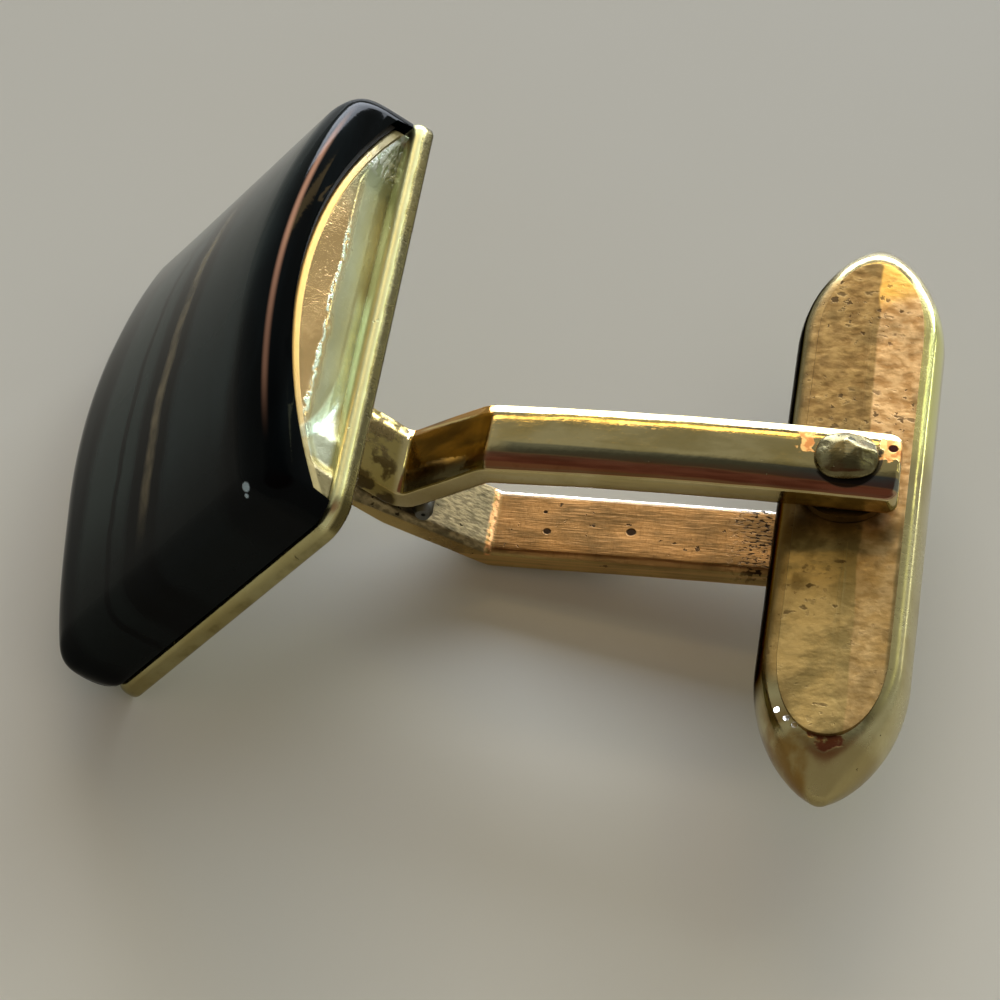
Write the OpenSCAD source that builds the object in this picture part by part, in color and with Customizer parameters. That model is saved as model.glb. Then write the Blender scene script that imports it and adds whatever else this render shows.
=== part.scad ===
// Cufflink with a rectangular arched stone, a forked post and a turning
// bullet toggle, lying on its side as it comes to rest on a table.
// Millimetres. The row frame has +X from the head towards the toggle,
// Y across, along the toggle, and Z up, with the table at Z = 0.

/* [Toggle] */
// length of the toggle, tip to tip
toggle_length = 20; // [16:0.1:24]
// diameter of the toggle's round flanks
toggle_width = 4.2; // [4:0.05:5]
// length of each pointed end, from the straight flank to the tip
toggle_nose = 4.1; // [3:0.1:5]
// half the toggle's thickness at the ridge down each worn face
ridge_height = 1.16; // [1:0.01:1.3]
// how far a worn face falls from its ridge to the flank
ridge_fall = 0.12; // [0.05:0.01:0.3]
// distance of the toggle's centre line past the pin
toggle_offset = 0.2; // [0:0.05:0.5]
// thickness of the cover let into the toggle's upper face
cover_thickness = 0.38; // [0.25:0.01:0.5]
// half width of the cover
cover_half_width = 1.5; // [1.2:0.05:1.7]
// distance from each tip of the toggle to the cover's apex
cover_margin = 1.7; // [1.4:0.05:3]
// gap all round between the cover and its recess
cover_gap = 0.03; // [0.02:0.01:0.06]
// width of the ledge under the cover's edge
ledge_width = 0.25; // [0.15:0.05:0.4]
// thickness of the shell's closed lower wall, measured at the ridge
shell_floor = 0.4; // [0.3:0.05:0.6]

/* [Arms] */
// clear gap between the inner faces of the two arms
arm_gap = 2.8; // [2.8:0.05:3.2]
// width of each arm, along the toggle
arm_width = 2.35; // [2:0.05:3]
// thickness of each arm
arm_thickness = 0.9; // [0.7:0.05:1]
// reach of each arm past the centre of the pin
arm_end = 1.5; // [1.2:0.05:2]
// radius of the corners at the arms' free ends
arm_corner = 0.4; // [0.2:0.05:0.8]
// distance from the pin to the bend of each arm
arm_straight = 9.9; // [8:0.1:12]
// length of the upper arm's foot, from the head's back to its inner bend
foot_length = 3.85; // [3:0.05:5]
// how much further out the lower arm's foot bends away
foot_step = 0.12; // [0.05:0.01:0.4]

/* [Pin] */
// diameter of the pivot pin's shank
pin_diameter = 1.1; // [0.8:0.05:1.3]
// radial running clearance of the turning parts on the pin
pin_clearance = 0.03; // [0.02:0.01:0.08]
// radial gap of the pin in the arms' holes
arm_hole_gap = 0.01; // [0.005:0.005:0.02]
// diameter of the pin's hammered heads
head_diameter = 1.84; // [1.5:0.02:2.4]
// height of the straight edge of a hammered head
head_edge = 0.12; // [0.08:0.02:0.2]
// height of the domed top of a hammered head
head_dome = 0.26; // [0.16:0.02:0.4]
// diameter of the washer between the toggle and each arm
washer_diameter = 2.6; // [2.2:0.05:3]
// thickness of each washer
washer_thickness = 0.25; // [0.15:0.01:0.3]
// height of the flat seat for a washer above the toggle's middle
seat_height = 1.12; // [1.1:0.01:1.2]
// diameter of the spacer tube inside the toggle
bush_diameter = 1.9; // [1.7:0.05:2.2]
// gap between the spacer tube's ends and the toggle's walls
bush_gap = 0.02; // [0.01:0.01:0.05]

/* [Head] */
// lean of the head's back away from square to the arms, in degrees
head_lean = 39; // [30:0.1:45]
// distance of the centre of the head's back from the pin, along the arms
head_reach = 15.58; // [14:0.02:18]
// height of that centre above the middle of the arm gap
head_rise = 2.48; // [2:0.01:3.5]
// size of the back plate across the toggle's direction
plate_height = 10.7; // [9:0.1:14]
// size of the back plate along the toggle
plate_length = 14.9; // [12:0.1:18]
// thickness of the back plate
plate_thickness = 0.65; // [0.5:0.05:1]
// corner radius of the back plate
plate_corner = 0.6; // [0.3:0.1:2]
// radius of the back plate's rounded edges
plate_edge = 0.18; // [0.1:0.02:0.3]
// inset of the seat's arched sheet from the plate's long edges
sheet_inset = 0.25; // [0.15:0.05:0.5]
// thickness of the seat's metal
sheet_thickness = 0.4; // [0.3:0.05:0.6]
// radius of the seat's arch
arch_radius = 13.5; // [11:0.1:16]
// height of the arch's crown above the plate's back
arch_crown = 2.95; // [2.4:0.05:3.4]
// inset of the arched sheet's ends from the plate's short ends
sheet_end_inset = 0.7; // [0.4:0.05:1.2]
// inset of the crescent walls behind the arched sheet's rim
wall_inset = 0.12; // [0.05:0.01:0.3]
// depth of the hollow pressed into each crescent wall
dish_depth = 0.3; // [0.1:0.05:0.6]
// flat margin between the hollow and the sheet round it
dish_margin = 0.06; // [0.03:0.01:0.2]
// distance of the hollow's ends from the ends of the arched sheet
dish_end_inset = 0.6; // [0.2:0.05:1.5]

/* [Stone] */
// thickness of the cement bed under the stone
cement_thickness = 0.12; // [0.08:0.02:0.2]
// inset of the cement from the stone's sides
cement_inset = 0.25; // [0.15:0.05:0.6]
// inset of the stone from the plate's edges
stone_inset = 0; // [0:0.05:0.3]
// height of the stone's crown above the plate's back
stone_crown = 3.95; // [3.8:0.05:5]
// radius of the stone's arched face
stone_radius = 21; // [15:0.5:30]
// radius of the shoulders along the stone's long sides
side_shoulder = 1.25; // [0.4:0.05:1.6]
// radius of the shoulders at the stone's short ends
end_shoulder = 0.7; // [0.3:0.05:0.9]
// radius of the stone's upright corners
stone_corner = 0.6; // [0.4:0.1:2]
// gap between the stone's ends and the plate
stone_foot_gap = 0.04; // [0.02:0.01:0.1]

/* [Solder] */
// radius of the solder collar round the foot, at the plate
collar_base = 2.1; // [1.9:0.05:2.6]
// radius of the collar at its top
collar_top = 1.56; // [1.52:0.02:1.8]
// height of the collar
collar_height = 0.45; // [0.3:0.05:0.8]
// radius of the solder bead in the fork of the arms
bead_radius = 0.28; // [0.2:0.01:0.4]

/* [Hidden] */
$fn = 96;
half_length = toggle_length / 2;
flank_radius = toggle_width / 2;
nose_radius = (toggle_nose ^ 2 + flank_radius ^ 2) / (2 * flank_radius);
flank_half = half_length - toggle_nose;
nose_turn = asin(toggle_nose / nose_radius);
nose_steps = 10;
cover_reach = half_length - cover_margin;
cover_base = ridge_height - cover_thickness;
floor_height = -ridge_height + shell_floor;
shank_radius = pin_diameter / 2;
turn_radius = shank_radius + pin_clearance;
arm_middle = (arm_gap + arm_thickness) / 2;
arm_outer = arm_gap / 2 + arm_thickness;
dome_base = head_diameter / 2;
dome_radius = (dome_base ^ 2 + head_dome ^ 2) / (2 * head_dome);
dome_centre = arm_outer + head_edge + head_dome - dome_radius;
plate_half_height = plate_height / 2;
plate_half_length = plate_length / 2;
sheet_half = plate_half_height - sheet_inset;
sheet_half_length = plate_half_length - sheet_end_inset;
sheet_inner = arch_radius - sheet_thickness;
wall_half = sheet_half - wall_inset;
wall_thickness = sheet_thickness + dish_depth;
arch_centre = arch_crown - arch_radius;
dish_half = (sheet_inner + arch_centre - plate_thickness) / 2 - dish_margin;
dish_radius = (dish_half ^ 2 + dish_depth ^ 2) / (2 * dish_depth);
dish_ring_radius = sheet_inner - dish_margin - dish_half;
bed_radius = arch_radius + cement_thickness;
bed_half_length = sheet_half_length + cement_thickness;
stone_half_height = plate_half_height - stone_inset;
stone_half_length = plate_half_length - stone_inset;
stone_centre = stone_crown - stone_radius;
bite = 2 * arm_thickness;

// directions in the upright plane of the arms, as [along, up]
back_way = [cos(head_lean), -sin(head_lean)];
up_way = [sin(head_lean), cos(head_lean)];
head_centre = [-head_reach, head_rise];
upper_foot = head_centre + up_way * arm_thickness / 2;
lower_foot = head_centre - up_way * arm_thickness / 2;
upper_path = [
    [arm_end, arm_middle],
    [-arm_straight, arm_middle],
    upper_foot + back_way * foot_length,
    upper_foot
];
lower_path = [
    [arm_end, -arm_middle],
    [-arm_straight, -arm_middle],
    lower_foot + back_way * (foot_length + foot_step),
    lower_foot
];

// the fork's inner corner, where the two slanting faces would meet
function way(a, b) = (b - a) / norm(b - a);
function left(v) = [-v[1], v[0]];
upper_slant = way(upper_path[2], upper_path[1]);
lower_slant = way(lower_path[2], lower_path[1]);
upper_edge = upper_path[2] - left(upper_slant) * arm_thickness / 2;
lower_edge = lower_path[2] + left(lower_slant) * arm_thickness / 2;
fork_run = (lower_edge - upper_edge) * left(lower_slant)
    / (upper_slant * left(lower_slant));
fork_point = upper_edge + upper_slant * fork_run;
fork_middle = way([0, 0], upper_slant + lower_slant);
fork_half_angle = acos(upper_slant * lower_slant) / 2;
bead_centre = fork_point + fork_middle * bead_radius / sin(fork_half_angle);

// resting pose: the plate's lower edge and the lower arm's bend touch
edge_spot = head_centre + up_way * (plate_edge - plate_half_height)
    - back_way * plate_edge;
bend_spot = lower_path[1];
bend_radius = arm_thickness / 2;
span = bend_spot - edge_spot;
rest_angle = asin((bend_radius - plate_edge) / norm(span)) - atan2(span[1], span[0]);
table_drop = edge_spot[0] * sin(rest_angle) + edge_spot[1] * cos(rest_angle) - plate_edge;
lean_left = head_lean - rest_angle;
far_left = head_centre[0] * cos(rest_angle) - head_centre[1] * sin(rest_angle)
    - (stone_crown - side_shoulder) * cos(lean_left)
    - (stone_half_height - side_shoulder) * sin(lean_left) - side_shoulder;
far_right = toggle_offset * cos(rest_angle) + flank_radius;

// turns the upright design into its resting pose on the table
module resting() {
    translate([-(far_left + far_right) / 2, 0, -table_drop])
        rotate([0, -rest_angle, 0])
            children();
}

// head frame: X up the head, Y along it, Z out of its face
module on_head() {
    resting()
        translate([head_centre[0], 0, head_centre[1]])
            rotate([0, head_lean - 90, 0])
                children();
}

// draws an outline given as [along, up] and pulls it evenly across
module across(width) {
    rotate([90, 0, 0])
        linear_extrude(width, center = true)
            children();
}

// the same for an outline given as [Y, Z], pulled along X
module lengthwise(width) {
    rotate([90, 0, 90])
        linear_extrude(width, center = true)
            children();
}

module round_rect(x_half, y_half, corner) {
    square([2 * x_half, 2 * (y_half - corner)], center = true);
    square([2 * (x_half - corner), 2 * y_half], center = true);
    for (sx = [-1, 1], sy = [-1, 1])
        translate([sx * (x_half - corner), sy * (y_half - corner)])
            circle(corner);
}

// a bar with rounded long edges, as a section
module soft_section(half_width, height, edge) {
    translate([-half_width, edge])
        square([2 * half_width, height - 2 * edge]);
    translate([edge - half_width, 0])
        square([2 * (half_width - edge), height]);
    for (s = [-1, 1], z = [edge, height - edge])
        translate([s * (half_width - edge), z])
            circle(edge);
}

module soft_plate(x_half, y_half, height, corner, edge) {
    lengthwise(2 * (x_half - corner))
        soft_section(y_half, height, edge);
    across(2 * (y_half - corner))
        soft_section(x_half, height, edge);
    for (sx = [-1, 1], sy = [-1, 1])
        translate([sx * (x_half - corner), sy * (y_half - corner), 0])
            rotate_extrude()
                intersection() {
                    soft_section(corner, height, edge);
                    square([corner, height]);
                }
}

// flat strip following a path of [along, up] points
module strip(path) {
    for (i = [0 : len(path) - 2]) {
        run = path[i + 1] - path[i];
        translate(path[i])
            rotate(atan2(run[1], run[0]))
                translate([0, -arm_thickness / 2])
                    square([norm(run), arm_thickness]);
    }
    for (i = [1 : len(path) - 2])
        translate(path[i])
            circle(arm_thickness / 2);
}

module arm_plan() {
    reach = head_reach + arm_end + bite;
    translate([arm_end - reach, -arm_width / 2])
        square([reach - arm_corner, arm_width]);
    translate([-arm_corner, arm_corner - arm_width / 2])
        square([arm_end + arm_corner, arm_width - 2 * arm_corner]);
    for (s = [-1, 1])
        translate([arm_end - arm_corner, s * (arm_width / 2 - arm_corner)])
            circle(arm_corner);
}

module arm(path) {
    difference() {
        intersection() {
            across(arm_width)
                strip(path);
            translate([0, 0, -head_reach])
                linear_extrude(2 * head_reach)
                    arm_plan();
        }
        translate([0, 0, path[0][1] - arm_thickness])
            cylinder(2 * arm_thickness, r = shank_radius + arm_hole_gap);
    }
}

// bullet outline turned about the toggle's length, its noses in short cones
module bullet() {
    nose = [
        for (i = [0 : nose_steps])
            let (turn = nose_turn * i / nose_steps)
                [
                    nose_radius * (cos(turn) - 1) + flank_radius,
                    flank_half + nose_radius * sin(turn)
                ]
    ];
    tail = [for (i = [nose_steps : -1 : 0]) [nose[i][0], -nose[i][1]]];
    rotate([90, 0, 0])
        rotate_extrude()
            polygon(concat(nose, tail));
}

// section of the two shallow-ridged worn faces
module ridged_section() {
    edge = ridge_height - ridge_fall;
    polygon([
        [-flank_radius, -edge],
        [0, -ridge_height],
        [flank_radius, -edge],
        [flank_radius, edge],
        [0, ridge_height],
        [-flank_radius, edge]
    ]);
}

module on_toggle() {
    resting()
        translate([toggle_offset, 0, 0])
            children();
}

module ridged_bar() {
    across(toggle_length)
        ridged_section();
}

module stadium(half_width, reach) {
    square([2 * half_width, 2 * (reach - half_width)], center = true);
    for (s = [-1, 1])
        translate([0, s * (reach - half_width)])
            circle(half_width);
}

// everything cut out round the pin, for the turning parts
module pin_cuts() {
    translate([-toggle_offset, 0, -arm_outer])
        cylinder(2 * arm_outer, r = turn_radius);
    for (s = [0, 1])
        mirror([0, 0, s])
            translate([-toggle_offset, 0, seat_height])
                cylinder(arm_gap, r = washer_diameter / 2 + cover_gap);
}

module stone_outline() {
    fillet_y = stone_half_length - end_shoulder;
    fillet_z = sqrt((stone_radius - end_shoulder) ^ 2 - fillet_y ^ 2) + stone_centre;
    tangent_y = fillet_y * stone_radius / (stone_radius - end_shoulder);
    base = plate_thickness + stone_foot_gap;
    difference() {
        union() {
            intersection() {
                translate([0, stone_centre])
                    circle(stone_radius);
                translate([-tangent_y, base])
                    square([2 * tangent_y, stone_crown]);
            }
            translate([-stone_half_length, base])
                square([2 * stone_half_length, fillet_z - base]);
            for (s = [-1, 1])
                translate([s * fillet_y, fillet_z])
                    circle(end_shoulder);
        }
        intersection() {
            translate([0, arch_centre])
                circle(bed_radius);
            translate([-bed_half_length, 0])
                square([2 * bed_half_length, stone_crown]);
        }
    }
}

// the stone's arched face with its long shoulders, as a thick wheel
module stone_wheel() {
    flat_half = stone_half_height - side_shoulder;
    inner = stone_radius - side_shoulder;
    translate([0, 0, stone_centre])
        rotate([0, 90, 0])
            rotate_extrude() {
                translate([0, -stone_half_height])
                    square([inner, 2 * stone_half_height]);
                translate([0, -flat_half])
                    square([stone_radius, 2 * flat_half]);
                for (s = [-1, 1])
                    translate([inner, s * flat_half])
                        circle(side_shoulder);
            }
}

module arch_band(outer, inner, base) {
    intersection() {
        difference() {
            translate([0, arch_centre])
                circle(outer);
            translate([0, arch_centre])
                circle(inner);
        }
        translate([-sheet_half_length, base])
            square([2 * sheet_half_length, stone_crown]);
    }
}

module stone() {
    color([0.03, 0.04, 0.05])
        on_head()
            intersection() {
                stone_wheel();
                lengthwise(plate_height)
                    stone_outline();
                linear_extrude(stone_radius)
                    round_rect(stone_half_height, stone_half_length, stone_corner);
            }
}

module stone_cement() {
    color([0.12, 0.1, 0.07])
        on_head()
            lengthwise(2 * (stone_half_height - cement_inset))
                arch_band(bed_radius, arch_radius, plate_thickness + stone_foot_gap);
}

// ring that presses the hollow into a crescent wall, along the arch
module dish_ring(side) {
    reach = sheet_half_length - dish_end_inset;
    intersection() {
        translate([0, 0, arch_centre])
            rotate([0, 90, 0])
                rotate_extrude()
                    translate([dish_ring_radius, side * (wall_half - dish_depth + dish_radius)])
                        circle(dish_radius);
        translate([side * wall_half, 0, 0])
            lengthwise(2 * dish_radius)
                translate([-reach, 0])
                    square([2 * reach, stone_crown]);
    }
}

module seat_pan() {
    color([0.78, 0.72, 0.42])
        on_head() {
            lengthwise(2 * sheet_half)
                arch_band(arch_radius, sheet_inner, plate_thickness);
            for (s = [-1, 1])
                difference() {
                    translate([s * (wall_half - wall_thickness / 2), 0, 0])
                        lengthwise(wall_thickness)
                            intersection() {
                                translate([0, arch_centre])
                                    circle(sheet_inner + sheet_thickness / 2);
                                translate([-sheet_half_length, plate_thickness])
                                    square([2 * sheet_half_length, stone_crown]);
                            }
                    dish_ring(s);
                }
        }
}

module back_plate() {
    color([0.8, 0.74, 0.42])
        on_head()
            soft_plate(plate_half_height, plate_half_length, plate_thickness,
                plate_corner, plate_edge);
}

module foot_solder() {
    color([0.6, 0.55, 0.4])
        on_head()
            difference() {
                translate([0, 0, -collar_height])
                    cylinder(collar_height, r1 = collar_top, r2 = collar_base);
                translate([0, 0, -foot_length / 2])
                    cube([2 * arm_thickness, arm_width, foot_length], center = true);
            }
}

module upper_arm() {
    color([0.82, 0.75, 0.42])
        resting()
            arm(upper_path);
}

module lower_arm() {
    color([0.75, 0.55, 0.35])
        resting()
            arm(lower_path);
}

module fork_solder() {
    color([0.4, 0.4, 0.36])
        resting()
            across(arm_width)
                difference() {
                    translate(bead_centre)
                        circle(bead_radius);
                    strip(upper_path);
                    strip(lower_path);
                }
}

module pivot_pin() {
    color([0.5, 0.5, 0.42])
        resting() {
            translate([0, 0, -arm_outer])
                cylinder(2 * arm_outer, r = shank_radius);
            for (s = [0, 1])
                mirror([0, 0, s]) {
                    translate([0, 0, arm_outer])
                        cylinder(head_edge, r = dome_base);
                    intersection() {
                        translate([0, 0, dome_centre])
                            sphere(dome_radius);
                        translate([0, 0, arm_outer + head_edge])
                            cylinder(2 * head_dome, r = dome_base);
                    }
                }
        }
}

module washer(side) {
    low = side * (seat_height + arm_gap / 2) / 2;
    translate([0, 0, low])
        difference() {
            cylinder(washer_thickness, r = washer_diameter / 2, center = true);
            cylinder(2 * washer_thickness, r = turn_radius, center = true);
        }
}

module upper_washer() {
    color([0.35, 0.3, 0.2])
        resting()
            washer(1);
}

module lower_washer() {
    color([0.35, 0.3, 0.2])
        resting()
            washer(-1);
}

module toggle_shell() {
    color([0.8, 0.74, 0.46])
        on_toggle()
            difference() {
                intersection() {
                    bullet();
                    ridged_bar();
                }
                translate([0, 0, floor_height])
                    linear_extrude(toggle_width)
                        stadium(cover_half_width - ledge_width, cover_reach - ledge_width);
                translate([0, 0, cover_base])
                    linear_extrude(toggle_width)
                        stadium(cover_half_width + cover_gap, cover_reach + cover_gap);
                pin_cuts();
            }
}

module toggle_cover() {
    color([0.6, 0.48, 0.24])
        on_toggle()
            difference() {
                intersection() {
                    ridged_bar();
                    translate([0, 0, cover_base])
                        linear_extrude(toggle_width)
                            stadium(cover_half_width, cover_reach);
                }
                pin_cuts();
            }
}

module toggle_bush() {
    tube = cover_base - floor_height - 2 * bush_gap;
    color([0.55, 0.45, 0.25])
        resting()
            translate([0, 0, floor_height + bush_gap])
                difference() {
                    cylinder(tube, r = bush_diameter / 2);
                    translate([0, 0, -tube])
                        cylinder(3 * tube, r = turn_radius);
                }
}

stone();
stone_cement();
seat_pan();
back_plate();
foot_solder();
upper_arm();
lower_arm();
fork_solder();
pivot_pin();
upper_washer();
lower_washer();
toggle_shell();
toggle_cover();
toggle_bush();
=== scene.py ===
"""A cufflink lying on a pale table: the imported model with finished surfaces.

Sizes are in millimetres and are turned into metres when a mesh is made.
ARMS has its origin on the pin, X along the arms and Z along the pin.
HEAD has its origin on the back of the head, X up it, Y along it, Z out of it.
"""
from math import atan2, copysign, cos, exp, hypot, log, pi, radians, sin, sqrt, tan

import bmesh
import bpy
from mathutils import Matrix, Vector, noise


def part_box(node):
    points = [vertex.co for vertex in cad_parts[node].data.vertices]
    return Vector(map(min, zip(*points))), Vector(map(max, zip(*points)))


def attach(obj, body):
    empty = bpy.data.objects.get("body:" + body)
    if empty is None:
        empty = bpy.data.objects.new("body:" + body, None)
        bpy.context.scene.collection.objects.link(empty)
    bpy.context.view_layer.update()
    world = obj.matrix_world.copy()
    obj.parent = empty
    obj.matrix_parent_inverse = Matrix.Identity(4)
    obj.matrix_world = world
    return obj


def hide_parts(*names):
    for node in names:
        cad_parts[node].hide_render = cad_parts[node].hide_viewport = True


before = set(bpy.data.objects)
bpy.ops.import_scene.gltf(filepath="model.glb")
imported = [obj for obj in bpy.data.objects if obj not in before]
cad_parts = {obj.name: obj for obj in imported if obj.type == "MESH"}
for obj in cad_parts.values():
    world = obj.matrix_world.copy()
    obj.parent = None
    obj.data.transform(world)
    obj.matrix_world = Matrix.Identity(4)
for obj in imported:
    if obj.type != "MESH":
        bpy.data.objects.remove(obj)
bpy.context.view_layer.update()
# the unevenness of the arms is the same in every run
noise.seed_set(11)

MM = 0.001
REST = radians(4.387828)
LEAN = radians(34.612172)
ARMS = Matrix.Translation((9.612839, 0, 3.051999)) @ Matrix.Rotation(-REST, 4, "Y")
HEAD = Matrix.Translation((-6.111234, 0, 4.332748)) @ Matrix.Rotation(LEAN - pi / 2, 4, "Y")

# the head, as in the CAD
PLATE = (5.35, 7.45, 0.65)
ARCH_RADIUS, ARCH_CROWN = 13.5, 2.95
BED_RADIUS, BED_REACH = 13.62, 6.87
SEAT_HALF, SEAT_REACH, WALL, RIM = 5.1, 6.75, 4.98, 0.3
STONE_RADIUS, STONE_CROWN = 21.0, 3.95
SIDE_SHOULDER, END_SHOULDER, STONE_CORNER, STONE_FOOT = 1.25, 0.7, 0.7, 0.69
SWELL_START, SWELL_RUN, SWELL_FULLER, SWELL_OUT, SWELL_LONGER = 3.0, 4.2, 0.27, 0.22, 0.022

# the arms and the pin
ARM_HALF, ARM_THICK, ARM_GAP = 1.175, 0.9, 2.8
ARM_MIDDLE = (ARM_GAP + ARM_THICK) / 2
ARM_OUTER = ARM_GAP / 2 + ARM_THICK
ARM_END, ARM_STRAIGHT, ARM_BEND = 1.5, 9.9, 0.62
SHANK, FLANGE = 0.55, 0.95

# the toggle
TOGGLE_SHIFT, TOGGLE_RADIUS, TOGGLE_HALF, TOGGLE_NOSE, TOGGLE_BLUNT = 0.2, 2.1, 10.0, 4.1, 0.7
RIDGE, RIDGE_FALL = 1.16, 0.12
COVER_HALF, COVER_REACH, COVER_THICK = 1.5, 8.6, 0.38
PIN_HOLE, WASHER_HOLE, WASHER_FACE = 0.58, 1.33, 1.12


def show(name, data):
    """a new object in the scene"""
    thing = bpy.data.objects.new(name, data)
    bpy.context.scene.collection.objects.link(thing)
    return thing


# ---------------------------------------------------------------- materials


def srgb(code):
    """linear RGBA of an sRGB hex colour"""
    parts = [int(code[i : i + 2], 16) / 255 for i in (1, 3, 5)]
    return [c / 12.92 if c <= 0.04045 else ((c + 0.055) / 1.055) ** 2.4 for c in parts] + [1]


def add(kind, sockets=(), out=0, tree=None, **settings):
    """adds a node with its settings, sets or links its sockets, gives an output

    It goes to the tree of the sockets it is linked to, or else to the given one.
    """
    sockets = dict(sockets if isinstance(sockets, dict) else enumerate(sockets))
    linked = [v for v in sockets.values() if isinstance(v, bpy.types.NodeSocket)]
    if linked:
        tree = linked[0].id_data
    node = tree.nodes.new("ShaderNode" + kind)
    for name, value in settings.items():
        setattr(node, name, value)
    for key, value in sockets.items():
        if value in linked:
            tree.links.new(value, node.inputs[key])
        else:
            node.inputs[key].default_value = srgb(value) if isinstance(value, str) else value
    return node.outputs[out]


APART = {"out": slice(3)}


def local(material, place):
    """the surface's own place in millimetres, in one of the frames above"""
    spot = add("TexCoord", out="Object", tree=material.node_tree)
    back = place.inverted()
    moved = {"Location": back.translation, "Rotation": back.to_euler(), "Scale": (1000, 1000, 1000)}
    return add("Mapping", {"Vector": spot, **moved})


def total(*terms):
    """the sum of the terms, of which (value, weight) is a weighted one"""
    result = 0.0
    for term in terms:
        if not isinstance(term, tuple):
            term = (1.0, term) if isinstance(term, float) else (term, 1.0)
        result = add("Math", (*term, result), operation="MULTIPLY_ADD")
    return result


def meet(*masks, join="MULTIPLY"):
    """joins masks; one given as (value, off, on) is a soft step from off to on"""
    result = None
    for mask in masks:
        if isinstance(mask, tuple):
            mask = add("MapRange", mask, interpolation_type="SMOOTHSTEP")
        result = mask if result is None else add("Math", (result, mask), operation=join)
    return result


def band(value, low, high, soft=0.05):
    """1 between two limits, with soft edges"""
    rise = (value, low - soft, low + soft)
    return meet(rise, (value, high - soft, high + soft, 1.0, 0.0))


def paint(colour, *coats):
    """lays coats of (colour, mask, ...) over a colour, each where its masks meet"""
    for coat, *masks in coats:
        sockets = {0: meet(*masks), 6: colour, 7: coat}
        colour = add("Mix", sockets, 2, data_type="RGBA")
    return colour


def grain(vector, per_mm, detail=3.0, stretch=(1, 1, 1), shift=(0, 0, 0), turn=(0, 0, 0)):
    """cloudy noise with so many patches to the millimetre"""
    moved = {"Vector": vector, "Location": shift, "Rotation": turn, "Scale": stretch}
    sockets = {"Vector": add("Mapping", moved), "Scale": per_mm, "Detail": detail}
    return add("TexNoise", sockets)


def patches(vector, per_mm, low, high, detail=4.0, stretch=(1, 1, 1), shift=(0, 0, 0)):
    """the cloudy noise as patches with an edge"""
    return meet((grain(vector, per_mm, detail, stretch, shift), low, high))


def spots(vector, per_mm, size, shift=(0, 0, 0), soft=0.25):
    """scattered ragged specks, each with its own size"""
    warp = add("TexNoise", {"Vector": vector, "Scale": per_mm * 2.2, "Detail": 3.0}, "Color")
    moved = add("Mapping", {"Vector": vector, "Location": shift})
    moved = add("VectorMath", (warp, (1.1 / per_mm,) * 3, moved), operation="MULTIPLY_ADD")
    cells = {"Vector": moved, "Scale": per_mm, "Randomness": 1.0}
    lot = add("SeparateColor", (add("TexVoronoi", cells, "Color"),))
    limit = meet((lot, 0.55, 1.0, 0.0, size))
    edge = total(limit, (add("TexVoronoi", cells, "Distance"), -1.0))
    return meet((edge, 0.0, size * soft))


def dots(vector, places, ragged=0.0):
    """marks at (place, radius), round unless a ragged noise moves their edges"""
    result = 0.0
    for place, radius in places:
        gap = add("VectorMath", (vector, place), "Value", operation="DISTANCE")
        gap = total(gap, (ragged, 0.12))
        result = meet(result, (gap, radius * 1.3, radius), join="MAXIMUM")
    return result


def start(name, **fixed):
    """a new material with these values on its shader"""
    material = bpy.data.materials.new(name)
    material.use_nodes = True
    shader = material.node_tree.nodes["Principled BSDF"]
    for key, value in fixed.items():
        shader.inputs[key.replace("_", " ")].default_value = value
    return material, shader


def dress(shader, colour, roughness, height, depth):
    """links the finished colour, roughness and bump of depth millimetres"""
    bump = add("Bump", {"Height": height, "Distance": depth * MM, "Strength": 1.0})
    for name, socket in ("Base Color", colour), ("Roughness", roughness), ("Normal", bump):
        shader.id_data.links.new(socket, shader.inputs[name])


def metal(name, place, bright, dull, deep, gloss, layers=None, seed=0.0, pits=0.16, brushed=0.35,
          metallic=1.0):
    """plated brass: cloudy tarnish, fine scratches along X and small dark pits"""
    material, shader = start(name, Metallic=metallic)
    spot = local(material, place)
    shift = (seed * 3.1, seed * 1.7, seed * 2.3)
    cloud = grain(spot, 0.55, 6.0, shift=shift)
    fine = grain(spot, 6.0, 4.0, shift=shift)
    # polishing lines are finer than 0.02 mm; they are drawn 0.06 mm apart to show
    lines = grain(spot, 1.0, 3.0, (0.5, 16, 16), shift)
    hole = spots(spot, 1.6, pits, shift)
    colour = paint(bright, (dull, (cloud, 0.38, 0.72)),
                   (dull, (fine, 0.52, 0.8, 0.0, 0.45)), (deep, hole))
    rough = total((cloud, 0.16), (fine, 0.1), (lines, 0.08), (hole, 0.4), gloss - 0.17)
    height = total((fine, 0.3), (lines, brushed), (hole, -2.0), (cloud, 1.2))
    if layers:
        axes = add("SeparateXYZ", (spot,), **APART)
        colour, rough, height = layers(spot, axes, colour, rough, height)
    dress(shader, colour, rough, height, 0.012)
    return material


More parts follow.
